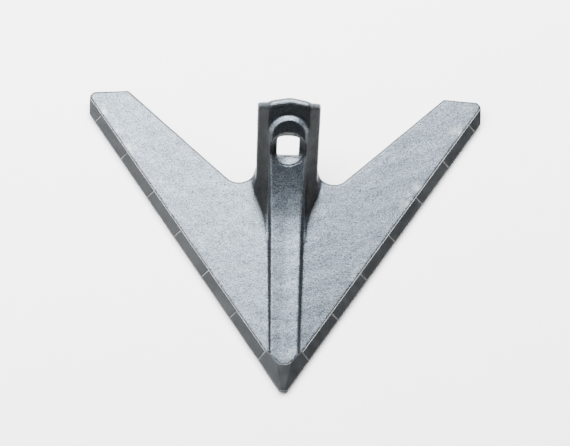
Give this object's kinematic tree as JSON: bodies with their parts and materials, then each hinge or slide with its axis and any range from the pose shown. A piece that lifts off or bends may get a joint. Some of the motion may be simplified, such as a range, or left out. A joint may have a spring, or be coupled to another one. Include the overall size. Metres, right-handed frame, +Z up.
{
  "type": "carbide-tiled cultivator sweep",
  "caption": "V-shaped cultivator sweep with a raised centre rib, an inclined stem with a countersunk square bolt hole, and hard tiles brazed along both cutting edges and over the nose.",
  "frame": {"origin": "centre of the bounding box in plan, on the flat sole under the cutting edges", "axes": "+Z up from the sole, -Y towards the nose and the direction of travel, +Y towards the stem and the wing tips, +X to the right when looking along +Y"},
  "size_m": [0.228, 0.172, 0.0552],
  "materials": {
    "body_steel": "shot-blasted drop-forged steel, light blue-grey, finely pitted on the wings and smoother and darker on the stem",
    "carbide": "smooth dark grey sintered tungsten carbide with fine grinding marks",
    "braze_metal": "dull silver-grey brazing alloy in thin seams"
  },
  "bodies": {
    "root": {"sweep_body": "body_steel", "nose_tile": "carbide", "braze_nose": "braze_metal", "tile_left_1": "carbide", "braze_left_1": "braze_metal", "tile_left_2": "carbide", "braze_left_2": "braze_metal", "tile_left_3": "carbide", "braze_left_3": "braze_metal", "tile_left_4": "carbide", "braze_left_4": "braze_metal", "tile_left_5": "carbide", "braze_left_5": "braze_metal", "tile_left_6": "carbide", "braze_left_6": "braze_metal", "tile_left_7": "carbide", "braze_left_7": "braze_metal", "tile_right_1": "carbide", "braze_right_1": "braze_metal", "tile_right_2": "carbide", "braze_right_2": "braze_metal", "tile_right_3": "carbide", "braze_right_3": "braze_metal", "tile_right_4": "carbide", "braze_right_4": "braze_metal", "tile_right_5": "carbide", "braze_right_5": "braze_metal", "tile_right_6": "carbide", "braze_right_6": "braze_metal", "tile_right_7": "carbide", "braze_right_7": "braze_metal"}
  },
  "joints": []
}
